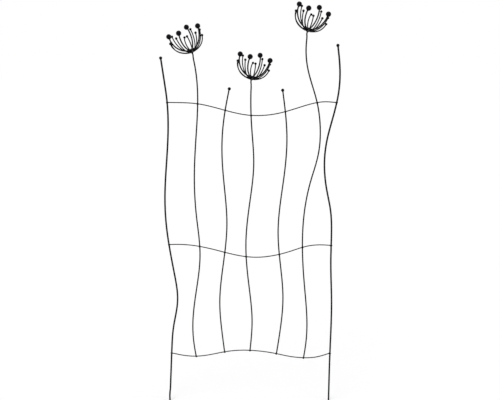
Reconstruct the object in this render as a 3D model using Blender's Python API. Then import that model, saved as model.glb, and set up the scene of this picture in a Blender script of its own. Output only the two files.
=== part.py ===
"""A wire garden trellis: two wavy stakes, three wavy crossbars, five wavy stems and three flower heads.

Metres, +Z up. X runs along the crossbars, +Y is the back. The origin is on the soil line, midway between
the two stakes. Stakes and stems stand in one layer in front, and the crossbars lap behind them.
"""

from math import asin, ceil, cos, pi, radians, sin

import bmesh
import bpy
import numpy as np
from mathutils import Matrix, Vector

# The rods
STAKE_DIAMETER = 0.005
STEM_DIAMETER = 0.004
CROSSBAR_DIAMETER = 0.003
RAY_DIAMETER = 0.004
BUD_WIRE_DIAMETER = 0.0032

# The layout of the panel
TRELLIS_WIDTH = 0.485
STAKE_DEPTH = 0.125
BOTTOM_BAR_HEIGHT = 0.027
MIDDLE_BAR_HEIGHT = 0.3545
TOP_BAR_HEIGHT = 0.775

# How far each upright reaches above the top crossbar's middle height
LEFT_STAKE_RISE = 0.141
RIGHT_STAKE_RISE = 0.176
LEFT_SHORT_STEM_RISE = 0.055
RIGHT_SHORT_STEM_RISE = 0.051
LEFT_FLOWER_RISE = 0.1567
CENTRE_FLOWER_RISE = 0.0814
RIGHT_FLOWER_RISE = 0.2149

# Balls and buds
END_BALL_DIAMETER = 0.0092
FLOWER_BALL_DIAMETER = 0.0148
BUD_DIAMETER = 0.007

# The hub that joins a flower's wires to its stem
HUB_DIAMETER = 0.009
HUB_HEIGHT = 0.0105
HUB_TOP_DIAMETER = 0.006
HUB_SOCKET_DEPTH = 0.006
HUB_COLLAR_WALL = 0.0009
HUB_CONE_LENGTH = 0.0025
HUB_WALL_ABOVE_RAYS = 0.0021
BUD_WIRE_SEAT = 0.001
RAY_SEAT = 0.0065

# How far each flower leans to the right, nods to the front and is turned about its own axis, in degrees
LEFT_FLOWER_LEAN = -20.3
CENTRE_FLOWER_LEAN = 11.7
RIGHT_FLOWER_LEAN = 17.2
LEFT_FLOWER_NOD = 0.5
CENTRE_FLOWER_NOD = -1.4
RIGHT_FLOWER_NOD = 3.5
LEFT_FLOWER_TURN = 5.8
CENTRE_FLOWER_TURN = -1.2
RIGHT_FLOWER_TURN = -4.9
FIRST_RAY_AZIMUTH = -15.0
NECK_LENGTH = 0.016
NECK_STRAIGHT = 0.002

# The clearances
JOINT_GAP = 0.0003
CROSSBAR_END_INSET = 0.0005
FOOT_STRAIGHT = 0.020

# The straight end of a wire before its ball or bud, as a share of that ball or bud
STRAIGHT_BEFORE_BALL = 0.6
STRAIGHT_BEFORE_BUD = 0.75

# How finely the pieces are cut
ROD_SIDES = 8
WIRE_SIDES = 6
ROD_STEP = 0.021
CROSSBAR_STEP = 0.015
RAY_STEPS = 8
NECK_STEPS = 4
NOSE_STEPS = 6
BUD_SLICES = (-0.88, -0.58, -0.12, 0.38, 0.80, 0.97)
BALL_SEGMENTS = 14
BALL_RINGS = 7
END_BALL_SEGMENTS = 12
END_BALL_RINGS = 6
HUB_SEGMENTS = 12
SHARP_EDGE = 50.0
WELD_DISTANCE = 0.00001
SETTLING_ROUNDS = 4

# The paint: colour and roughness
ROD_COLOUR = (0.012, 0.012, 0.014)
ROD_ROUGHNESS = 0.38
BALL_COLOUR = (0.014, 0.014, 0.017)
BALL_ROUGHNESS = 0.30

# The bends of each upright: height above the soil, and sideways offset from its own straight line
LEFT_STAKE_BENDS = (
    (-0.125, 0.0), (0.040, 0.009), (0.120, 0.0165), (0.165, 0.0252), (0.200, 0.0294), (0.231, 0.0287),
    (0.280, 0.0220), (0.355, 0.010), (0.432, 0.001), (0.522, -0.001), (0.625, 0.0063), (0.727, 0.0126),
    (0.798, 0.0106), (0.854, 0.004), (0.916, -0.0042),
)
RIGHT_STAKE_BENDS = (
    (-0.125, 0.0), (0.040, 0.0012), (0.200, 0.0023), (0.318, -0.0023), (0.417, -0.0024), (0.477, -0.0066),
    (0.537, -0.0186), (0.610, -0.0268), (0.683, -0.0210), (0.741, -0.0074), (0.812, 0.008), (0.882, 0.0114),
    (0.951, 0.004),
)
LEFT_FLOWER_STEM_BENDS = (
    (0.020, 0.0014), (0.060, -0.0045), (0.120, -0.0073), (0.231, 0.0049), (0.340, 0.0171), (0.462, 0.008),
    (0.572, 0.0038), (0.683, 0.0096), (0.806, 0.0166), (0.882, 0.0118), (0.932, 0.0027),
)
LEFT_SHORT_STEM_BENDS = (
    (0.034, 0.0065), (0.104, -0.0015), (0.193, -0.0068), (0.309, 0.004), (0.432, 0.0158), (0.566, 0.0074),
    (0.669, 0.0031), (0.769, 0.0129), (0.830, 0.0249),
)
CENTRE_FLOWER_STEM_BENDS = (
    (0.039, 0.0023), (0.133, 0.0085), (0.247, -0.001), (0.377, -0.0097), (0.507, 0.0026), (0.616, 0.013),
    (0.712, 0.0077), (0.798, 0.0046), (0.857, 0.0061),
)
RIGHT_SHORT_STEM_BENDS = (
    (0.028, 0.0012), (0.120, 0.0138), (0.206, 0.0194), (0.309, 0.0112), (0.410, 0.0035), (0.581, 0.0198),
    (0.695, 0.0265), (0.769, 0.0209), (0.826, 0.0134),
)
RIGHT_FLOWER_STEM_BENDS = (
    (0.017, 0.0027), (0.060, 0.0085), (0.127, 0.0111), (0.247, 0.0018), (0.365, -0.0057), (0.492, 0.0011),
    (0.566, 0.0161), (0.640, 0.0355), (0.712, 0.0403), (0.798, 0.0282), (0.882, 0.0033), (0.938, -0.0034),
    (0.990, -0.0001),
)

# The waves of each crossbar: place in columns from the middle, and height above its own level
TOP_BAR_WAVE = (
    (-3.0, 0.0160), (-2.5, 0.0155), (-1.8, 0.0120), (-1.0, -0.0030), (0.0, -0.0205), (0.4, -0.0213),
    (1.0, -0.0155), (1.8, 0.0030), (2.2, 0.0125), (2.65, 0.0178), (3.0, 0.0160),
)
MIDDLE_BAR_WAVE = (
    (-2.9, 0.0170), (-2.6, 0.0175), (-2.0, 0.0140), (-1.2, 0.0), (-0.45, -0.0155), (0.25, -0.0220),
    (0.9, -0.0165), (1.5, -0.0035), (2.0, 0.0100), (2.5, 0.0160), (3.0, 0.0142),
)
BOTTOM_BAR_WAVE = (
    (-2.9, 0.0022), (-2.5, -0.0050), (-2.05, -0.0085), (-1.5, -0.0040), (-0.9, 0.0060), (-0.2, 0.0110),
    (0.4, 0.0080), (1.0, 0.0), (1.5, -0.0090), (2.0, -0.0135), (2.5, -0.0112), (3.0, 0.0010),
)

# The flower's wires: stray of the tip in degrees, reach from the axis, rise of the tip, bend in degrees
BALL_RAYS = (
    (-6.0, 0.0430, 0.0630, 84.0),
    (-2.0, 0.0365, 0.0680, 132.0),
    (-7.0, 0.0485, 0.0615, 97.0),
    (-9.0, 0.0395, 0.0640, 116.0),
)
BUD_RAYS = (
    (-7.0, 0.0460, 0.0355, 81.0),
    (-1.0, 0.0455, 0.0500, 79.0),
    (8.0, 0.0455, 0.0585, 108.0),
    (8.0, 0.0245, 0.0440, 143.0),
    (14.0, 0.0460, 0.0580, 87.0),
    (4.0, 0.0490, 0.0425, 91.0),
    (0.0, 0.0480, 0.0460, 100.0),
    (-1.0, 0.0490, 0.0535, 78.0),
    (2.0, 0.0275, 0.0475, 146.0),
    (0.0, 0.0440, 0.0490, 75.0),
)

# Values that follow from those above
COLUMNS = 6
COLUMN_WIDTH = TRELLIS_WIDTH / COLUMNS
STAKE_LAYER = -(STAKE_DIAMETER + JOINT_GAP) / 2
STEM_LAYER = -(STEM_DIAMETER + JOINT_GAP) / 2
CROSSBAR_LAYER = (CROSSBAR_DIAMETER + JOINT_GAP) / 2


def material(name, colour, roughness):
    """A painted surface with one colour."""
    result = bpy.data.materials.new(name)
    result.use_nodes = True
    shader = result.node_tree.nodes["Principled BSDF"]
    shader.inputs["Base Color"].default_value = (*colour, 1.0)
    shader.inputs["Roughness"].default_value = roughness
    shader.inputs["Metallic"].default_value = 0.0
    return result


def clear_scene():
    """Start from an empty scene."""
    for thing in list(bpy.data.objects):
        bpy.data.objects.remove(thing, do_unlink=True)


def smooth_line(knots):
    """The natural cubic through the knots, as a function that runs on straight past both ends."""
    at = np.array([knot[0] for knot in knots])
    value = np.array([knot[1] for knot in knots])
    step = np.diff(at)
    slope = np.diff(value) / step
    count = len(at)
    system = np.eye(count)
    right = np.zeros(count)
    for i in range(1, count - 1):
        system[i, i - 1] = step[i - 1]
        system[i, i] = 2 * (step[i - 1] + step[i])
        system[i, i + 1] = step[i]
        right[i] = 6 * (slope[i] - slope[i - 1])
    bend = np.linalg.solve(system, right)

    def read(place):
        i = int(np.clip(np.searchsorted(at, place) - 1, 0, count - 2))
        inside = min(max(place, at[0]), at[-1])
        a = inside - at[i]
        start = slope[i] - step[i] * (2 * bend[i] + bend[i + 1]) / 6
        curl = (bend[i + 1] - bend[i]) / (6 * step[i])
        height = value[i] + a * (start + a * (bend[i] / 2 + a * curl))
        tilt = start + a * (bend[i] + a * 3 * curl)
        return float(height + (place - inside) * tilt)

    return read


class Upright:
    """A stake or stem: its straight line, its bends, and the layer that it stands in."""

    def __init__(self, column, bends, diameter, layer):
        self.line = column * COLUMN_WIDTH
        self.offset = smooth_line(bends)
        self.diameter = diameter
        self.layer = layer

    def x(self, height):
        return self.line + self.offset(height)

    def point(self, height):
        return Vector((self.x(height), self.layer, height))

    def direction(self, height):
        reach = self.diameter / 4
        return (self.point(height + reach) - self.point(height - reach)).normalized()

    def points(self, low, high):
        """Points along the rod, about one step apart, from low to high."""
        count = max(2, ceil((high - low) / ROD_STEP))
        return [self.point(low + (high - low) * i / count) for i in range(count + 1)]


class Crossbar:
    """A crossbar: its level and its wave along the columns."""

    def __init__(self, level, wave):
        self.level = level
        self.wave = smooth_line(wave)

    def height(self, x):
        return self.level + self.wave(x / COLUMN_WIDTH)

    def end(self, stake, side):
        """Where the bar stops, just inside the outer edge of a stake; side is -1 for left, 1 for right."""
        x = stake.line
        for _ in range(SETTLING_ROUNDS):
            x = stake.x(self.height(x)) + side * (stake.diameter / 2 - CROSSBAR_END_INSET)
        return x

    def points(self, left, right):
        count = max(2, ceil((right - left) / CROSSBAR_STEP))
        places = [left + (right - left) * i / count for i in range(count + 1)]
        return [Vector((x, CROSSBAR_LAYER, self.height(x))) for x in places]


def rod(name, points, diameter, paint, sides, widths=None):
    """A round rod along the points; widths are shares of the diameter at each point."""
    curve = bpy.data.curves.new(name, "CURVE")
    curve.dimensions = "3D"
    curve.bevel_depth = diameter / 2
    curve.bevel_resolution = sides // 2 - 2
    curve.use_fill_caps = True
    line = curve.splines.new("POLY")
    line.points.add(len(points) - 1)
    line.use_smooth = True
    for i, point in enumerate(points):
        line.points[i].co = (*point, 1.0)
        line.points[i].radius = widths[i] if widths else 1.0
    curve.materials.append(paint)
    result = bpy.data.objects.new(name, curve)
    bpy.context.collection.objects.link(result)
    return result


def turned(name, profile, segments, centre, axis, paint):
    """A turned piece: a profile of radius and height, from the axis round to the axis, spun about it."""
    mesh = bpy.data.meshes.new(name)
    shape = bmesh.new()
    corners = [shape.verts.new((radius, 0, height)) for radius, height in profile]
    edges = [shape.edges.new(pair) for pair in zip(corners[:-1], corners[1:])]
    bmesh.ops.spin(
        shape, geom=corners + edges, cent=(0, 0, 0), axis=(0, 0, 1), angle=2 * pi, steps=segments,
        use_merge=True,
    )
    bmesh.ops.remove_doubles(shape, verts=shape.verts, dist=WELD_DISTANCE)
    bmesh.ops.recalc_face_normals(shape, faces=shape.faces)
    shape.to_mesh(mesh)
    shape.free()
    mesh.materials.append(paint)
    mesh.shade_smooth()
    mesh.set_sharp_from_angle(angle=radians(SHARP_EDGE))
    result = bpy.data.objects.new(name, mesh)
    bpy.context.collection.objects.link(result)
    result.matrix_world = Matrix.Translation(centre) @ axis.to_track_quat("Z", "Y").to_matrix().to_4x4()
    return result


def socketed_ball(name, diameter, wire, segments, rings, centre, axis, paint):
    """A ball with a blind socket in its underside for the end of a wire that comes up along the axis."""
    bore = (wire / 2 + JOINT_GAP) / cos(pi / segments)
    mouth = asin(bore / (diameter / 2))
    profile = [(0, 0), (bore, 0)]
    for i in range(rings + 1):
        angle = mouth + (pi - mouth) * i / rings
        profile.append((diameter / 2 * sin(angle), -diameter / 2 * cos(angle)))
    profile[-1] = (0, diameter / 2)
    return turned(name, profile, segments, centre, axis, paint)


def build_stake(name, stake, rise, paint):
    """A stake with its ball: the foot is straight and cut square, and the top sits in the ball."""
    ball = stake.point(TOP_BAR_HEIGHT + rise)
    axis = stake.direction(ball.z)
    neck = END_BALL_DIAMETER
    foot = stake.point(-STAKE_DEPTH)
    shaft = stake.points(-STAKE_DEPTH + FOOT_STRAIGHT, ball.z - neck)
    shaft[0].x = foot.x
    rod(name, [foot] + shaft + [ball - axis * JOINT_GAP], stake.diameter, paint, ROD_SIDES)
    return ball, axis


def build_short_stem(name, stem, crossbar, rise, paint):
    """A stem that ends in a small ball."""
    ball = stem.point(TOP_BAR_HEIGHT + rise)
    axis = stem.direction(ball.z)
    shaft = stem.points(stem_foot(stem, crossbar), ball.z - END_BALL_DIAMETER)
    rod(name, shaft + [ball - axis * JOINT_GAP], stem.diameter, paint, ROD_SIDES)
    return ball, axis


def stem_foot(stem, crossbar):
    """A stem stops level with the lower edge of the bottom crossbar."""
    height = crossbar.level
    for _ in range(SETTLING_ROUNDS):
        height = crossbar.height(stem.x(height)) - CROSSBAR_DIAMETER / 2
    return height


def build_flower_stem(name, stem, crossbar, rise, lean, nod, paint):
    """A stem that curves over into the axis of its flower and ends in the socket of the hub."""
    base = stem.point(TOP_BAR_HEIGHT + rise)
    tilt = Matrix.Rotation(radians(lean), 4, "Y") @ Matrix.Rotation(radians(nod), 4, "X")
    axis = tilt.to_3x3().col[2]
    shaft = stem.points(stem_foot(stem, crossbar), base.z - NECK_LENGTH)
    low = shaft[-1]
    high = base - axis * (HUB_CONE_LENGTH + NECK_STRAIGHT)
    span = (high - low).length
    start = stem.direction(low.z) * span
    finish = axis * span
    for i in range(1, NECK_STEPS + 1):
        t = i / NECK_STEPS
        shaft.append(
            low * (2 * t**3 - 3 * t**2 + 1) + start * (t**3 - 2 * t**2 + t)
            + high * (3 * t**2 - 2 * t**3) + finish * (t**3 - t**2)
        )
    seat = base + axis * (HUB_SOCKET_DEPTH - HUB_CONE_LENGTH - JOINT_GAP)
    rod(name, shaft + [seat], stem.diameter, paint, ROD_SIDES)
    return Matrix.Translation(base) @ tilt


def end_ball(name, wire, ball, axis, paint):
    """The small ball on the top of a stake or a short stem."""
    return socketed_ball(
        name, END_BALL_DIAMETER, wire, END_BALL_SEGMENTS, END_BALL_RINGS, ball, axis, paint,
    )


def build_hub(name, place, paint):
    """The turned hub: a cone with a blind socket for the stem, a straight wall and a domed top."""
    bore = (STEM_DIAMETER / 2 + JOINT_GAP) / cos(pi / HUB_SEGMENTS)
    profile = [
        (0, HUB_SOCKET_DEPTH - HUB_CONE_LENGTH),
        (bore, HUB_SOCKET_DEPTH - HUB_CONE_LENGTH),
        (bore, -HUB_CONE_LENGTH),
        (bore + HUB_COLLAR_WALL, -HUB_CONE_LENGTH),
        (HUB_DIAMETER / 2, 0),
        (HUB_DIAMETER / 2, RAY_SEAT + HUB_WALL_ABOVE_RAYS),
        (HUB_TOP_DIAMETER / 2, HUB_HEIGHT),
        (0, HUB_HEIGHT),
    ]
    return turned(name, profile, HUB_SEGMENTS, place.translation, place.to_3x3().col[2], paint)


class Ray:
    """One wire of a flower: a bow from the hub to its tip, in the flower's own frame."""

    def __init__(self, azimuth, row, seat):
        stray, self.reach, self.rise, bend = row
        self.azimuth = radians(azimuth)
        self.stray = radians(stray)
        self.bend = radians(bend)
        self.seat = seat

    def turn_at(self, radius):
        """How far along its bend the wire is when it leaves the hub at a radius."""
        return asin(radius * sin(self.bend) / self.reach)

    def point(self, turn, start):
        radius = self.reach * sin(turn) / sin(self.bend)
        height = self.seat + (self.rise - self.seat) * (1 - cos(turn)) / (1 - cos(self.bend))
        still = (self.bend - turn) / (self.bend - start)
        side = self.azimuth + self.stray * (1 - still**3)
        return Vector((radius * cos(side), radius * sin(side), height))

    def points(self, radius, head):
        """Points from a radius out to the head's near side, then straight to the head's centre."""
        start = self.turn_at(radius)
        centre = self.point(self.bend, start)
        path = [self.point(start + (self.bend - start) * i / RAY_STEPS, start) for i in range(RAY_STEPS)]
        path = [point for point in path if (point - centre).length > head]
        return path, centre


def bend_nose(first, second, hub, wire):
    """The tight bend of a bud wire, between two neighbouring rays, that touches the hub's wall."""
    half = (second.azimuth - first.azimuth) / 2
    middle = (second.azimuth + first.azimuth) / 2
    distance = (hub + JOINT_GAP + wire / 2) / (1 - sin(half))
    bend = distance * sin(half)
    tangent = distance * cos(half)
    height = first.point(first.turn_at(tangent), 0).z
    rise = second.point(second.turn_at(tangent), 0).z - height
    nose = []
    for i in range(1, NOSE_STEPS):
        share = i / NOSE_STEPS
        angle = middle + pi + (pi / 2 - half) * (1 - 2 * share)
        x = distance * cos(middle) + bend * cos(angle)
        y = distance * sin(middle) + bend * sin(angle)
        nose.append(Vector((x, y, height + rise * share)))
    return nose, tangent


def bud_end(path, centre):
    """The round bud formed on the end of a wire: points past the path's end, and their widths."""
    axis = (centre - path[-1]).normalized()
    radius = BUD_DIAMETER / 2
    points = []
    widths = []
    for share in BUD_SLICES:
        points.append(centre + axis * radius * share)
        widths.append(BUD_DIAMETER / BUD_WIRE_DIAMETER * (1 - share**2) ** 0.5)
    return points, widths


def build_bud_wire(name, first, second, place, paint):
    """One bent wire that is two neighbouring rays, with a bud on each end and its bend at the hub."""
    nose, tangent = bend_nose(first, second, HUB_DIAMETER / 2, BUD_WIRE_DIAMETER)
    out_first, tip_first = first.points(tangent, BUD_DIAMETER * STRAIGHT_BEFORE_BUD)
    out_second, tip_second = second.points(tangent, BUD_DIAMETER * STRAIGHT_BEFORE_BUD)
    bud_first, widths_first = bud_end(out_first, tip_first)
    bud_second, widths_second = bud_end(out_second, tip_second)
    half_first = out_first + bud_first
    half_second = out_second + bud_second
    points = half_first[::-1] + nose + half_second
    plain = len(out_first) + len(nose) + len(out_second)
    widths = widths_first[::-1] + [1.0] * plain + widths_second
    rod(name, [place @ point for point in points], BUD_WIRE_DIAMETER, paint, WIRE_SIDES, widths)


def build_ball_ray(name, ray, place, paint):
    """One wire with a straight end in the ball's socket; its inner end is welded to the hub's wall."""
    straight = FLOWER_BALL_DIAMETER * STRAIGHT_BEFORE_BALL
    near = HUB_DIAMETER / 2 + JOINT_GAP
    path, centre = ray.points(near, straight)
    # the wire leaves upwards, so the upper edge of its square end comes nearest to the wall
    tilt = (path[1] - path[0]).normalized().z
    path, centre = ray.points(near + RAY_DIAMETER / 2 * tilt, straight)
    axis = (centre - path[-1]).normalized()
    path += [centre - axis * straight, centre - axis * JOINT_GAP]
    rod(name, [place @ point for point in path], RAY_DIAMETER, paint, WIRE_SIDES)
    return place @ centre, place.to_3x3() @ axis


def build_flower(side, place, turn, wire_paint, ball_paint):
    """A flower head on its stem: the hub, four wires with balls, and five bent wires with ten buds."""
    name = "flower_" + side
    build_hub(name + "_hub", place, wire_paint)
    first = FIRST_RAY_AZIMUTH + turn
    for i, row in enumerate(BALL_RAYS):
        ray = Ray(first + i * 360 / len(BALL_RAYS), row, RAY_SEAT)
        centre, out = build_ball_ray(f"{name}_ball_ray_{i + 1}", ray, place, wire_paint)
        socketed_ball(
            f"{name}_ball_{i + 1}", FLOWER_BALL_DIAMETER, RAY_DIAMETER, BALL_SEGMENTS, BALL_RINGS,
            centre, out, ball_paint,
        )
    rays = [
        Ray(first + i * 360 / len(BUD_RAYS), row, BUD_WIRE_SEAT) for i, row in enumerate(BUD_RAYS)
    ]
    for i in range(0, len(rays), 2):
        build_bud_wire(f"{name}_bud_wire_{i // 2 + 1}", rays[i], rays[i + 1], place, wire_paint)


def build_crossbar(name, crossbar, stakes, paint):
    """A crossbar behind both stakes, from just inside one's outer edge to the other's."""
    points = crossbar.points(crossbar.end(stakes[0], -1), crossbar.end(stakes[1], 1))
    rod(name, points, CROSSBAR_DIAMETER, paint, WIRE_SIDES)


def build():
    clear_scene()
    rod_paint = material("painted_rod", ROD_COLOUR, ROD_ROUGHNESS)
    ball_paint = material("painted_ball", BALL_COLOUR, BALL_ROUGHNESS)

    left_stake = Upright(-3, LEFT_STAKE_BENDS, STAKE_DIAMETER, STAKE_LAYER)
    right_stake = Upright(3, RIGHT_STAKE_BENDS, STAKE_DIAMETER, STAKE_LAYER)
    stakes = (left_stake, right_stake)
    bottom = Crossbar(BOTTOM_BAR_HEIGHT, BOTTOM_BAR_WAVE)
    middle = Crossbar(MIDDLE_BAR_HEIGHT, MIDDLE_BAR_WAVE)
    top = Crossbar(TOP_BAR_HEIGHT, TOP_BAR_WAVE)

    build_crossbar("crossbar_bottom", bottom, stakes, rod_paint)
    build_crossbar("crossbar_middle", middle, stakes, rod_paint)
    build_crossbar("crossbar_top", top, stakes, rod_paint)

    for side, stake, rise in zip(("left", "right"), stakes, (LEFT_STAKE_RISE, RIGHT_STAKE_RISE)):
        ball, axis = build_stake("stake_" + side, stake, rise, rod_paint)
        end_ball("end_ball_stake_" + side, STAKE_DIAMETER, ball, axis, ball_paint)

    short_stems = (
        ("left", -1, LEFT_SHORT_STEM_BENDS, LEFT_SHORT_STEM_RISE),
        ("right", 1, RIGHT_SHORT_STEM_BENDS, RIGHT_SHORT_STEM_RISE),
    )
    for side, column, bends, rise in short_stems:
        stem = Upright(column, bends, STEM_DIAMETER, STEM_LAYER)
        ball, axis = build_short_stem("short_stem_" + side, stem, bottom, rise, rod_paint)
        end_ball("end_ball_short_stem_" + side, STEM_DIAMETER, ball, axis, ball_paint)

    flower_stems = (
        ("left", -2, LEFT_FLOWER_STEM_BENDS, LEFT_FLOWER_RISE,
         LEFT_FLOWER_LEAN, LEFT_FLOWER_NOD, LEFT_FLOWER_TURN),
        ("centre", 0, CENTRE_FLOWER_STEM_BENDS, CENTRE_FLOWER_RISE,
         CENTRE_FLOWER_LEAN, CENTRE_FLOWER_NOD, CENTRE_FLOWER_TURN),
        ("right", 2, RIGHT_FLOWER_STEM_BENDS, RIGHT_FLOWER_RISE,
         RIGHT_FLOWER_LEAN, RIGHT_FLOWER_NOD, RIGHT_FLOWER_TURN),
    )
    for side, column, bends, rise, lean, nod, turn in flower_stems:
        stem = Upright(column, bends, STEM_DIAMETER, STEM_LAYER)
        place = build_flower_stem("flower_stem_" + side, stem, bottom, rise, lean, nod, rod_paint)
        build_flower(side, place, turn, rod_paint, ball_paint)


build()
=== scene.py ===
# %% [markdown]
# A welded garden trellis with three spray flowers
#
# The object is a flat panel of round steel rods for a climbing plant. Two stakes go into the soil, five
# thinner stems stand between them, three crossbars hold them all, and three of the stems end in a spray
# of wires with balls and buds. It is welded by hand and then painted black.
#
# The frame that is loaded first holds the engineered solids, with six or eight sides to a rod. They say
# where every piece lies and how thick it is. This lesson reads them and lays the finished pieces over
# them: round, smooth rods, turned balls, weld beads and a coat of paint. Nothing is measured twice, so if
# a rod moves in the frame, its finished piece moves with it.

# %% Load the frame
from math import asin, cos, pi, radians, sin, sqrt

import bmesh
import bpy
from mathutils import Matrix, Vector, geometry, noise


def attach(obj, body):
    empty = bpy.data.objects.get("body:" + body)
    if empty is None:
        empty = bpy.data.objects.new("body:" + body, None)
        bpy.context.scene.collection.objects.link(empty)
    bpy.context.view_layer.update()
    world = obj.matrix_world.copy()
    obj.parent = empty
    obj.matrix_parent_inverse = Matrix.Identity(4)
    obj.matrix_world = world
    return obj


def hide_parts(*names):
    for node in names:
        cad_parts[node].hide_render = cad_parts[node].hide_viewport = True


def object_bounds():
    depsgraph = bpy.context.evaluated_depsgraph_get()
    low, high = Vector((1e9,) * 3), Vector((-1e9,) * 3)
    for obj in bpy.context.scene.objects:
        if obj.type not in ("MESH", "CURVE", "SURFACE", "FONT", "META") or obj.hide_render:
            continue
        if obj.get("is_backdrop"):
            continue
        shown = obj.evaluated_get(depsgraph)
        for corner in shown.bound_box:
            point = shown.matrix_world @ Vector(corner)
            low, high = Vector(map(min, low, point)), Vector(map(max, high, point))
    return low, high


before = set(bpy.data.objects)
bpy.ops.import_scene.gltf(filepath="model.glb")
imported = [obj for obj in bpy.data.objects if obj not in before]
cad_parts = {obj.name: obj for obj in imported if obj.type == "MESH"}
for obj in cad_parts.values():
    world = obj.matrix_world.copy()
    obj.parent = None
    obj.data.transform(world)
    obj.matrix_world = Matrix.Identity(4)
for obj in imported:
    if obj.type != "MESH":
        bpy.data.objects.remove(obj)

MM = 0.001
cad_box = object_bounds()
print(f"{len(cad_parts)} solids, {(cad_box[1] - cad_box[0]) / MM} mm over all")

# %% [markdown]
# The camera
#
# The photograph looks a little down on the panel from straight in front. A camera could be placed by eye,
# but the photograph gives it away: the top crossbar and the bottom one are equally long on the real
# panel, and the lower one is a little shorter in the picture, which gives the distance and the tilt
# together. It is written here as a point that the camera looks at, a tilt and a distance, because those
# three can be understood and changed.

# %% The camera
LOOK_AT = Vector((0.0023, 0.0, 0.5069))
TILT = radians(14.4)
DISTANCE = 2.74
LENS = 68.1
SENSOR_WIDTH = 36.0

camera_data = bpy.data.cameras.new("camera")
camera_data.lens = LENS
camera_data.sensor_width = SENSOR_WIDTH
camera = bpy.data.objects.new("camera", camera_data)
bpy.context.collection.objects.link(camera)
camera.location = LOOK_AT + DISTANCE * Vector((0.0, -cos(TILT), sin(TILT)))
camera.rotation_euler = (pi / 2 - TILT, 0.0, 0.0)
bpy.context.scene.camera = camera
bpy.context.scene.view_settings.view_transform = "Standard"
print("camera at", camera.location)

# %% [markdown]
# Shader maths as sums
#
# A material is a graph of nodes, and a graph is hard to read as code. One small class makes it read like
# a formula. It wraps an output socket, and Python's own operators on it add Math nodes, so a line such as
# `0.4 + 0.1 * grain` adds two nodes and links them. Everything that isn't arithmetic comes from one
# method, `node`, which takes the kind of node, its settings, and the values or links of its inputs.

# %% A socket that can be added and multiplied
class Shade:
    """An output of a shader node, or with no socket just the tree that nodes are added to."""

    def __init__(self, tree, socket=None):
        self.tree = tree
        self.socket = socket

    def node(self, kind, settings=None, inputs=None, output=0):
        """Add a node: its settings first, then its inputs, and hand back one of its outputs."""
        made = self.tree.nodes.new(kind)
        for name, value in (settings or {}).items():
            setattr(made, name, value)
        for name, value in (inputs or {}).items():
            if isinstance(value, Shade):
                self.tree.links.new(value.socket, made.inputs[name])
            else:
                made.inputs[name].default_value = value
        return Shade(self.tree, made.outputs[output] if made.outputs else None)

    def math(self, operation, first, second):
        """Add a Math node on two values."""
        return self.node("ShaderNodeMath", {"operation": operation}, {0: first, 1: second})

    def __add__(self, other):
        return self.math("ADD", self, other)

    def __radd__(self, other):
        return self.math("ADD", other, self)

    def __sub__(self, other):
        return self.math("SUBTRACT", self, other)

    def __rsub__(self, other):
        return self.math("SUBTRACT", other, self)

    def __mul__(self, other):
        return self.math("MULTIPLY", self, other)

    def __rmul__(self, other):
        return self.math("MULTIPLY", other, self)


def empty_tree(owner):
    """Give a material or a world an empty node tree."""
    owner.use_nodes = True
    owner.node_tree.nodes.clear()
    return Shade(owner.node_tree)


# %% [markdown]
# The studio
#
# The photograph is a cut-out on pure white. A strong lamp would burn a grey floor out to white, but it
# would burn the object too. So the lamps stay at a plain level, and the white comes from the background's
# own shaders: what the camera sees directly, or sees in a gloss or through glass, is white, and what
# lights the object is dimmer. The floor is a white diffuse sheet with a little light of its own for the
# camera, so it still takes a shadow where the feet touch it.

# %% The world
BACKGROUND_WHITE = 1.0
SKY_LIGHT = 0.5

world = bpy.data.worlds.new("studio")
bpy.context.scene.world = world
sky = empty_tree(world)


def seen_directly(shade):
    """1 where a ray comes from the camera, from a gloss or through glass, and 0 where it carries light."""
    seen = [shade.node("ShaderNodeLightPath", output=ray)
            for ray in ("Is Camera Ray", "Is Glossy Ray", "Is Transmission Ray")]
    either = shade.math("MAXIMUM", seen[0], seen[1])
    return shade.math("MAXIMUM", either, seen[2])


strength = SKY_LIGHT + (BACKGROUND_WHITE - SKY_LIGHT) * seen_directly(sky)
lit = sky.node("ShaderNodeBackground", inputs={"Color": (1.0, 1.0, 1.0, 1.0), "Strength": strength})
sky.node("ShaderNodeOutputWorld", inputs={"Surface": lit})
print(f"the background shows at {BACKGROUND_WHITE}, and lights the object at {SKY_LIGHT}")

# %% The floor
FLOOR_HEIGHT = cad_box[0].z
FLOOR_HALF = 8.0
FLOOR_SQUARES = 4
FLOOR_COLOUR = (0.86, 0.86, 0.86, 1.0)
FLOOR_GLOW = 0.175

floor_paper = bpy.data.materials.new("floor_paper")
paper = empty_tree(floor_paper)
sheet = paper.node("ShaderNodeBsdfDiffuse", inputs={"Color": FLOOR_COLOUR})
glow = paper.node("ShaderNodeEmission", inputs={
    "Color": (1.0, 1.0, 1.0, 1.0), "Strength": FLOOR_GLOW * seen_directly(paper)})
both = paper.node("ShaderNodeAddShader", inputs={0: sheet, 1: glow})
paper.node("ShaderNodeOutputMaterial", inputs={"Surface": both})

floor_mesh = bpy.data.meshes.new("floor")
floor_shape = bmesh.new()
bmesh.ops.create_grid(floor_shape, x_segments=FLOOR_SQUARES, y_segments=FLOOR_SQUARES, size=FLOOR_HALF)
floor_shape.to_mesh(floor_mesh)
floor_shape.free()
floor_mesh.materials.append(floor_paper)
floor = bpy.data.objects.new("floor", floor_mesh)
bpy.context.collection.objects.link(floor)
floor.location.z = FLOOR_HEIGHT
floor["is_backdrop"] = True
print(f"floor at {FLOOR_HEIGHT / MM:.1f} mm, where the feet stand")

# %% [markdown]
# The lamps
#
# Thin black rods need little light, but it has to be soft, because a hard lamp draws a bright line down
# every rod. A panel lamp would do, but its light falls off, and a pale floor would grow grey further
# back. A sun lamp is equally bright everywhere, and a wide angle makes it as soft as a large panel that
# stands far away. Three of them are used: a main one from the upper left in front, a weaker one from the
# right, and one from behind that throws its shadows forward and out of the picture.

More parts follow.
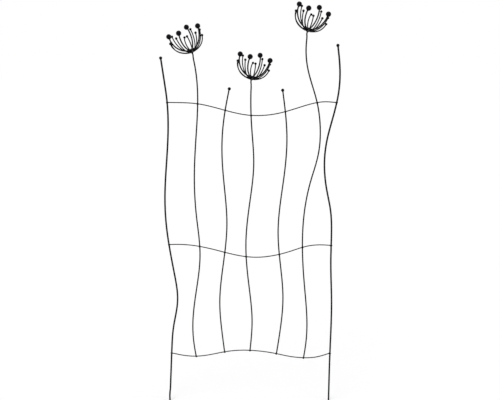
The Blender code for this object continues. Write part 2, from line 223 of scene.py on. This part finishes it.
# %% The lamps
def far_panel(name, towards, angle, strength):
    """A wide sun lamp that shines from a direction on to the trellis."""
    data = bpy.data.lights.new(name, "SUN")
    data.angle = radians(angle)
    data.energy = strength
    lamp = bpy.data.objects.new(name, data)
    bpy.context.collection.objects.link(lamp)
    lamp.location = towards
    lamp.rotation_euler = Vector(towards).to_track_quat("Z", "Y").to_euler()
    return lamp


lamps = [
    far_panel("main_lamp", (-1.3, -2.0, 1.9), 45.0, 1.0),
    far_panel("side_lamp", (2.2, -1.5, 1.4), 50.0, 0.4),
    far_panel("back_lamp", (0.3, 1.6, 2.6), 50.0, 0.8),
]
print([(lamp.name, round(lamp.data.energy, 2)) for lamp in lamps])

# %% [markdown]
# The paint
#
# The panel is dipped or sprayed after it is welded, so one black paint covers everything. Close up, such
# a coat isn't flat: it dries with a fine orange peel, about a millimetre from crest to crest and some
# hundredths deep, and it is a little shinier where it has run together. The peel is a noise that goes
# only into the normal. A slower noise moves the roughness and, very slightly, the colour. The photograph
# shows no bright glints, so the coat reflects weakly, which is set once, on the shader's own socket. The
# balls are a little smoother than the rods, and the welds are rougher and more uneven than both.

# %% A coat of paint
WEAK_SHINE = 0.04
CLOUDS_PER_METRE = 45.0
PEEL_SOFTNESS = 0.45


def paint_coat(name, dark, light, roughness, spread, peel, peel_depth):
    """A black paint: two near tints, a roughness and its spread, and the size and depth of its peel."""
    coat = bpy.data.materials.new(name)
    shade = empty_tree(coat)
    place = shade.node("ShaderNodeTexCoord", output="Object")
    cloud = shade.node("ShaderNodeTexNoise", inputs={
        "Vector": place, "Scale": CLOUDS_PER_METRE, "Detail": 3.0})
    fine = shade.node("ShaderNodeTexNoise", inputs={
        "Vector": place, "Scale": 1.0 / peel, "Detail": 2.0, "Roughness": PEEL_SOFTNESS})
    tint = shade.node(
        "ShaderNodeMix", {"data_type": "RGBA"}, {0: cloud, 6: (*dark, 1.0), 7: (*light, 1.0)}, output=2)
    rough = roughness + spread * (cloud - 0.5) + 0.5 * spread * (fine - 0.5)
    bumps = shade.node("ShaderNodeBump", inputs={"Strength": 1.0, "Distance": peel_depth, "Height": fine})
    surface = shade.node("ShaderNodeBsdfPrincipled", inputs={
        "Base Color": tint, "Roughness": rough, "Metallic": 0.0,
        "Specular IOR Level": WEAK_SHINE, "Normal": bumps})
    shade.node("ShaderNodeOutputMaterial", inputs={"Surface": surface})
    return coat


rod_coat = paint_coat(
    "rod_coat", dark=(0.0034, 0.0034, 0.0049), light=(0.0053, 0.0053, 0.0074),
    roughness=0.46, spread=0.16, peel=1.1 * MM, peel_depth=0.035 * MM)
ball_coat = paint_coat(
    "ball_coat", dark=(0.0037, 0.0037, 0.0056), light=(0.0057, 0.0057, 0.0082),
    roughness=0.38, spread=0.12, peel=1.4 * MM, peel_depth=0.03 * MM)
weld_coat = paint_coat(
    "weld_coat", dark=(0.0032, 0.0032, 0.0046), light=(0.0051, 0.0051, 0.0071),
    roughness=0.52, spread=0.20, peel=0.8 * MM, peel_depth=0.09 * MM)
print("coats:", rod_coat.name, ball_coat.name, weld_coat.name)

# %% [markdown]
# Reading a rod out of the frame
#
# A rod of the frame is a chain of rings, each with six or eight points. Its two ends are flat, and every
# point of an end is equally far from the middle, which no side face can match, so the ends can be found
# by that. From one end, each step along the edges reaches the next ring. The mean of a ring is a point of
# the rod's centre line, and the distance to its points is the rod's radius there.

# %% Rings of a rod
SAME_POINT = 0.002 * MM
SAME_PLANE = radians(0.5)
FEWEST_SIDES = 6
ROUND_WITHIN = 1.05


def ring(points):
    """The middle of a ring of points, its radius, and whether all its points are equally far out."""
    middle = sum(points, Vector()) / len(points)
    reach = [(point - middle).length for point in points]
    return middle, sum(reach) / len(reach), max(reach) < ROUND_WITHIN * min(reach)


def flat_ends(solid):
    """The two flat ends of a rod, lower one first: the corner points of each, and which way it faces."""
    plain = solid.copy()
    bmesh.ops.dissolve_limit(plain, angle_limit=SAME_PLANE, verts=plain.verts, edges=plain.edges)
    ends = [([vert.co.copy() for vert in face.verts], face.normal.copy())
            for face in plain.faces if len(face.verts) >= FEWEST_SIDES]
    plain.free()
    return sorted((end for end in ends if ring(end[0])[2]), key=lambda end: ring(end[0])[0].z)


def read_rod(node):
    """The centre points and radii of a rod of the frame, lower end first, and which way each end faces."""
    solid = bmesh.new()
    solid.from_mesh(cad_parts[node].data)
    bmesh.ops.remove_doubles(solid, verts=solid.verts, dist=SAME_POINT)
    bmesh.ops.recalc_face_normals(solid, faces=solid.faces)
    (low, down), (high, up) = flat_ends(solid)
    layer = [vert for vert in solid.verts if min((vert.co - corner).length for corner in low) < SAME_POINT]
    done = set(layer)
    rings = []
    while layer:
        middle, radius, is_round = ring([vert.co for vert in layer])
        if is_round and len(layer) == len(low):
            rings.append((middle, radius))
        layer = [edge.other_vert(vert) for vert in layer for edge in vert.link_edges]
        layer = [vert for vert in dict.fromkeys(layer) if vert not in done]
        done.update(layer)
    solid.free()
    last = ring(high)
    if (rings[-1][0] - last[0]).length > SAME_POINT:
        rings.append(last[:2])
    return [middle for middle, radius in rings], [radius for middle, radius in rings], (down, up)


knots, radii, ends = read_rod("stake_left")
print(f"the left stake has {len(knots)} rings and is {2 * radii[0] / MM:.1f} mm thick")
print("its foot faces", ends[0])

# %% [markdown]
# From rings to a round rod
#
# The rings of the frame are up to two centimetres apart, and straight lines between them would show as
# corners. A real rod is bent cold over a former and has none. So a smooth line is laid through the
# middles, piece by piece as Bezier curves that share their direction where they meet. Then a circle of
# sixteen points is carried along that line. Carrying means that each circle is turned as little as
# possible from the last one, so that the skin of the rod doesn't twist.
#
# The straight stretches of the frame's rods cut their bends short, so a rod that bends evenly can reach
# up to three tenths of a millimetre further out. The trellis has to keep its size, so where such a bend
# is the outermost place of all, the line is drawn in by that much.

# %% A smooth line through the rings
def smooth_line(knots, step, start, finish):
    """An evenly bending line through the knots, with a point about every step and given end directions."""
    parts = [after - before for before, after in zip(knots, knots[1:])]
    headings = [part.normalized() for part in parts]
    leans = [
        (headings[i] * parts[i + 1].length + headings[i + 1] * parts[i].length).normalized()
        for i in range(len(parts) - 1)
    ]
    leans = [start, *leans, finish]
    line = [knots[0].copy()]
    for i, part in enumerate(parts):
        reach = part.length / 3
        handles = knots[i] + leans[i] * reach, knots[i + 1] - leans[i + 1] * reach
        count = max(2, round(part.length / step) + 1)
        line += geometry.interpolate_bezier(knots[i], *handles, knots[i + 1], count)[1:]
    return line


def drawn_in(line, radius):
    """The same line, moved sideways wherever a rod around it would reach past the frame's box."""
    low = cad_box[0] + Vector((radius, radius, radius))
    high = cad_box[1] - Vector((radius, radius, radius))
    return [
        Vector((min(max(point.x, low.x), high.x), min(max(point.y, low.y), high.y), point.z))
        for point in line
    ]


# %% A skin along a line
def finish_piece(name, shape, coat):
    """Turn a bmesh into an object with a coat of paint."""
    mesh = bpy.data.meshes.new(name)
    bmesh.ops.recalc_face_normals(shape, faces=shape.faces)
    shape.to_mesh(mesh)
    shape.free()
    mesh.materials.append(coat)
    piece = bpy.data.objects.new(name, mesh)
    bpy.context.collection.objects.link(piece)
    return piece


def skin(shape, line, radii, sides):
    """Carry a circle along a line, join the circles, and close both ends."""
    across = (line[1] - line[0]).orthogonal().normalized()
    circles = []
    for i, point in enumerate(line):
        along = (line[min(i + 1, len(line) - 1)] - line[max(i - 1, 0)]).normalized()
        across = (across - along * across.dot(along)).normalized()
        beside = along.cross(across)
        circles.append([
            shape.verts.new(point + radii[i] * (across * cos(turn) + beside * sin(turn)))
            for turn in (2 * pi * k / sides for k in range(sides))
        ])
    for near, far in zip(circles, circles[1:]):
        for k in range(sides):
            face = shape.faces.new((near[k - 1], near[k], far[k], far[k - 1]))
            face.smooth = True
    shape.faces.new(circles[0])
    shape.faces.new(circles[-1])


# %% [markdown]
# Stakes, stems and crossbars
#
# These ten rods are sheared to length, and the paint rounds the sheared edge. So the last half millimetre
# of each cut end is drawn in along a quarter circle before the flat. An end that is hidden in a ball or a
# hub gets the same, which costs nothing.

# %% The ten rods
ROD_STEP = 3.5 * MM
ROD_SIDES = 16
CUT_EDGE = 0.45 * MM
EDGE_STEPS = 3


def soften_cut(line, radii, outwards, edge):
    """Round both sheared edges of a rod, whose ends face outwards."""
    for end, out in zip((0, -1), outwards):
        tip = line[end].copy()
        full = radii[end]
        line[end] = tip - out * edge
        turns = [pi / 2 * k / EDGE_STEPS for k in range(1, EDGE_STEPS + 1)]
        points = [tip - out * edge * (1 - sin(turn)) for turn in turns]
        sizes = [full - edge * (1 - cos(turn)) for turn in turns]
        if end == 0:
            line[:0] = points[::-1]
            radii[:0] = sizes[::-1]
        else:
            line += points
            radii += sizes


def dress(piece, slot, *nodes):
    """Hide the solids that a piece stands for and attach it to the rigid body; the paint slot is not used.
    """
    if nodes:
        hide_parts(*nodes)
    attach(piece, "root")
    return piece


def painted_rod(node, coat, step, sides):
    """A round rod over a rod of the frame. Returns its line, its radius and where its upper end faces."""
    knots, radii, (down, up) = read_rod(node)
    line = drawn_in(smooth_line(knots, step, -down, up), radii[0])
    widths = [radii[0]] * len(line)
    soften_cut(line, widths, (down, up), CUT_EDGE)
    shape = bmesh.new()
    skin(shape, line, widths, sides)
    dress(finish_piece("painted_" + node, shape, coat), "rod_paint", node)
    return line, radii[0], up


UPRIGHTS = (
    "stake_left", "flower_stem_left", "short_stem_left", "flower_stem_centre",
    "short_stem_right", "flower_stem_right", "stake_right",
)
CROSSBARS = ("crossbar_bottom", "crossbar_middle", "crossbar_top")
rods = {node: painted_rod(node, rod_coat, ROD_STEP, ROD_SIDES) for node in UPRIGHTS + CROSSBARS}
for node, (line, radius, _) in rods.items():
    length = sum((b - a).length for a, b in zip(line, line[1:]))
    print(f"{node}: {2 * radius / MM:.0f} mm rod, {length / MM:.0f} mm long")

# %% [markdown]
# Balls
#
# A ball is a steel bead pushed over the end of its wire and welded from below, so a thin collar of weld
# runs from the wire up on to the ball. A sphere primitive has no collar. The ball is turned instead, from
# a profile of distance along the wire and radius. The profile starts as a fillet, an arc that touches
# both the wire and the ball, and goes on round the ball to its far pole. The same profile serves the buds
# later, with a longer fillet.
#
# The frame's ball is found from two of its points. Its pole lies on the wire's axis, and its widest ring
# lies somewhere beside it. Only one circle that is centred on the axis goes through both. The frame's
# ball has facets, which cut its corners, so a round ball of the same radius can reach a tenth of a
# millimetre past them. The few balls at the outside of the trellis are made that much smaller, so that it
# keeps its size.

# %% Turned balls
BALL_SIDES = 32
FILLET_STEPS = 6
BALL_STEPS = 18
LAST_RING = radians(177)


def bulb_profile(radius, wire, fillet):
    """Distances from the ball's centre and radii there, from the foot of the fillet to the far pole."""
    reach = radius + fillet
    back = sqrt(reach**2 - (wire + fillet) ** 2)
    meet = asin((wire + fillet) / reach)
    profile = []
    for k in range(FILLET_STEPS):
        turn = (pi / 2 - meet) * k / FILLET_STEPS
        profile.append((fillet * sin(turn) - back, wire + fillet * (1 - cos(turn))))
    for k in range(BALL_STEPS + 1):
        turn = meet + (LAST_RING - meet) * k / BALL_STEPS
        profile.append((-radius * cos(turn), radius * sin(turn)))
    return profile


def turned_line(centre, axis, profile):
    """The points and radii of a profile that is laid along an axis from a centre."""
    return [centre + axis * along for along, _ in profile], [width for _, width in profile]


def frame_ball(node, tip, axis):
    """The centre and radius of a ball of the frame, whose centre lies on the axis through the tip."""
    places = []
    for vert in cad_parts[node].data.vertices:
        height = (vert.co - tip).dot(axis)
        places.append((height, (vert.co - tip - axis * height).length))
    pole = max(height for height, out in places)
    height, out = max(places, key=lambda place: place[1])
    centre = (pole**2 - height**2 - out**2) / (2 * (pole - height))
    return tip + axis * centre, pole - centre


def painted_ball(node, line, wire, axis, fillet):
    """A ball with its weld collar, over a ball of the frame that sits on the end of a wire."""
    centre, radius = frame_ball(node, line[-1], axis)
    radius = min(radius, *(centre - cad_box[0]), *(cad_box[1] - centre))
    shape = bmesh.new()
    skin(shape, *turned_line(centre, axis, bulb_profile(radius, wire, fillet)), BALL_SIDES)
    dress(finish_piece("painted_" + node, shape, ball_coat), "ball_paint", node)
    return radius


END_COLLAR = 1.5 * MM
for end in ("stake_left", "stake_right", "short_stem_left", "short_stem_right"):
    size = painted_ball("end_ball_" + end, *rods[end], END_COLLAR)
    print(f"ball on {end}: {2 * size / MM:.1f} mm")

# %% [markdown]
# The wires of a flower
#
# Each flower has four long wires with large balls, and ten short ones with buds. The short ones are five
# wires, each bent double: its tight bend touches the hub, and both its ends carry a bud. A wire is the
# same round skin as a rod, thinner and with closer points, because it bends more.

# %% Long wires and their balls
WIRE_STEP = 2.0 * MM
WIRE_SIDES = 14
BALL_COLLAR = 1.8 * MM
LONG_WIRES = 4
SIDES = ("left", "centre", "right")
roots = {side: [] for side in SIDES}

for side in SIDES:
    for number in range(1, LONG_WIRES + 1):
        wire = painted_rod(f"flower_{side}_ball_ray_{number}", rod_coat, WIRE_STEP, WIRE_SIDES)
        roots[side].append(wire[:2])
        size = painted_ball(f"flower_{side}_ball_{number}", *wire, BALL_COLLAR)
    print(f"{side} flower: four long wires, balls of {2 * size / MM:.1f} mm")

# %% [markdown]
# Buds
#
# A bud isn't a bead. It is formed on the wire's own end, so it runs into the wire with a soft neck, like
# a match head. In the frame it is six rings of changing size, and the last two are enough to find its
# sphere: both lie on it. The wire and its two buds become one skin with no seam between them.

# %% Bent wires with a bud on each end
BUD_NECK = 2.2 * MM
SPHERE_RINGS = 6
BENT_WIRES = 5


def sphere_at_end(knots, radii):
    """The centre, radius and outward direction of the bud at the end of a list of rings."""
    step = (knots[-1] - knots[-2]).length
    out = (knots[-1] - knots[-2]) / step
    back = (step**2 + radii[-1] ** 2 - radii[-2] ** 2) / (2 * step)
    return knots[-2] + out * back, sqrt(back**2 + radii[-2] ** 2), out


def painted_bud_wire(node):
    """A bent wire with a bud on each end, as one skin. Returns its line, its radius and a bud's radius."""
    knots, radii, _ = read_rod(node)
    wire = sorted(radii)[len(radii) // 2]
    buds = []
    for part, sizes in ((knots[::-1], radii[::-1]), (knots, radii)):
        centre, radius, out = sphere_at_end(part, sizes)
        buds.append((*turned_line(centre, out, bulb_profile(radius, wire, BUD_NECK)), out))
    (first, first_widths, first_out), (last, last_widths, last_out) = buds
    bare = [first[0], *knots[SPHERE_RINGS:-SPHERE_RINGS], last[0]]
    middle = drawn_in(smooth_line(bare, WIRE_STEP, -first_out, last_out)[1:-1], wire)
    widths = first_widths[::-1] + [wire] * len(middle) + last_widths
    shape = bmesh.new()
    skin(shape, first[::-1] + middle + last, widths, WIRE_SIDES)
    dress(finish_piece("painted_" + node, shape, rod_coat), "rod_paint", node)
    return middle, wire, radius


for side in SIDES:
    for number in range(1, BENT_WIRES + 1):
        line, wire, bud = painted_bud_wire(f"flower_{side}_bud_wire_{number}")
        roots[side].append((line, wire))
    print(f"{side} flower: five bent wires of {2 * wire / MM:.1f} mm, ten buds of {2 * bud / MM:.1f} mm")

# %% [markdown]
# The hub of a flower
#
# All fourteen wires are welded to one small turned hub on the top of the stem, and close up that place is
# a lump of weld from which the wires come out. Modelling every fillet by hand would be slow and would
# look too regular. Instead the hub and short, thicker copies of the wires' roots are put in one mesh,
# Remesh turns them into a single skin, and smoothing pulls the corners between them into fillets, as
# molten metal does. A wire that starts within two radii of the hub's axis ends at its wall. The copy of
# such a wire is carried on into the hub, so that the weld closes the gap there.

# %% Hubs
LUMP_PROFILE = ((0.0, 0.66), (0.16, 1.0), (0.72, 1.0), (0.9, 0.86), (1.0, 0.45))
LUMP_SIDES = 24
ROOT_REACH = 13.5 * MM
ROOT_SWELL = 1.4 * MM
ROOT_SUNK = 0.15 * MM
ENDS_AT_WALL = 2.0
ROOT_DEPTH = 0.6
ROOT_SIDES = 10
HUB_VOXEL = 0.32 * MM
FILLET_ROUNDS = 7
FILLET_PULL = 0.6


def painted_hub(side):
    """The welded lump that holds a flower's wires, over the hub of the frame."""
    node = f"flower_{side}_hub"
    stem, _, axis = rods["flower_stem_" + side]
    top = stem[-1]

    def foot(point):
        return top + axis * (point - top).dot(axis)

    def from_axis(point):
        return (point - foot(point)).length

    points = [vert.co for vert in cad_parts[node].data.vertices]
    heights = [(point - top).dot(axis) for point in points]
    low = top + axis * min(heights)
    tall = max(heights) - min(heights)
    radius = max(from_axis(point) for point in points)
    shape = bmesh.new()
    lump_profile = [(tall * share, radius * width) for share, width in LUMP_PROFILE]
    skin(shape, *turned_line(low, axis, lump_profile), LUMP_SIDES)
    for line, wire in roots[side]:
        near = [point for point in line if from_axis(point) < ROOT_REACH]
        if from_axis(near[0]) < ENDS_AT_WALL * radius:
            near.insert(0, near[0].lerp(foot(near[0]), ROOT_DEPTH))
        shares = [(ROOT_REACH - from_axis(point)) / (ROOT_REACH - radius) for point in near]
        widths = [wire - ROOT_SUNK + ROOT_SWELL * min(1.0, share) for share in shares]
        skin(shape, near, widths, ROOT_SIDES)
    lump = finish_piece("painted_" + node, shape, weld_coat)
    remesh = lump.modifiers.new("one_skin", "REMESH")
    remesh.mode = "VOXEL"
    remesh.voxel_size = HUB_VOXEL
    remesh.use_smooth_shade = True
    smooth = lump.modifiers.new("fillets", "SMOOTH")
    smooth.factor = FILLET_PULL
    smooth.iterations = FILLET_ROUNDS
    bpy.context.view_layer.update()
    finished = bpy.data.meshes.new_from_object(lump.evaluated_get(bpy.context.evaluated_depsgraph_get()))
    lump.modifiers.clear()
    lump.data = finished
    dress(lump, "rod_paint", node)
    return len(finished.polygons)


for side in SIDES:
    print(f"{side} hub: {painted_hub(side)} faces")

# %% [markdown]
# Welds where rods cross
#
# At every crossing the crossbar runs behind the upright, and a drop of weld joins them. It shows as a
# small fillet in the corners. A drop is an icosphere that is pressed flat between the two rods and
# roughened a little with a smooth noise, which is taken from its own place, so each drop differs and none
# changes from one run to the next.

# %% Drops of weld
DROP_DEPTH = 2.0 * MM
DROP_OVER_ROD = 1.35 * MM
DROP_DETAIL = 4
DROP_ROUGHNESS = 0.14
LUMPS_PER_DROP = 1.7
DROPS_APART = 900


def crossing(upright, crossbar):
    """Where two lines pass closest to each other in the plane of the panel."""
    best = None
    for a, b in zip(upright, upright[1:]):
        for c, d in zip(crossbar, crossbar[1:]):
            flat = [Vector((point.x, point.z)) for point in (a, b, c, d)]
            meet = geometry.intersect_line_line_2d(*flat)
            if meet:
                return Vector((meet.x, (a.y + c.y) / 2, meet.y))
            apart = (a - c).length
            if best is None or apart < best[0]:
                best = apart, (a + c) / 2
    return best[1]


def weld_drops(crossbar):
    """All the drops of weld along one crossbar, as one piece."""
    shape = bmesh.new()
    bar_line, bar_radius, _ = rods[crossbar]
    for upright in UPRIGHTS:
        line, radius, _ = rods[upright]
        place = crossing(line, bar_line)
        back_of_upright = line[len(line) // 2].y + radius
        front_of_bar = bar_line[0].y - bar_radius
        place.y = (back_of_upright + front_of_bar) / 2
        drop = bmesh.ops.create_icosphere(shape, subdivisions=DROP_DETAIL, radius=1.0)["verts"]
        reach = Vector((radius + DROP_OVER_ROD, DROP_DEPTH, bar_radius + DROP_OVER_ROD))
        for vert in drop:
            rough = 1 + DROP_ROUGHNESS * noise.noise(vert.co * LUMPS_PER_DROP + place * DROPS_APART)
            vert.co = place + rough * Vector(a * b for a, b in zip(vert.co, reach))
    for face in shape.faces:
        face.smooth = True
    name = "welds_on_" + crossbar
    return dress(finish_piece(name, shape, weld_coat), "rod_paint")


for crossbar in CROSSBARS:
    print(weld_drops(crossbar).name, "has", len(UPRIGHTS), "drops")

# %% [markdown]
# The size of the finished trellis
#
# The finished trellis has to keep the frame's size. Both boxes are printed.

# %% Sizes
finished_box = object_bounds()
for title, box in (("frame", cad_box), ("finished", finished_box)):
    print(title, [round(side / MM, 1) for side in box[1] - box[0]], "mm")
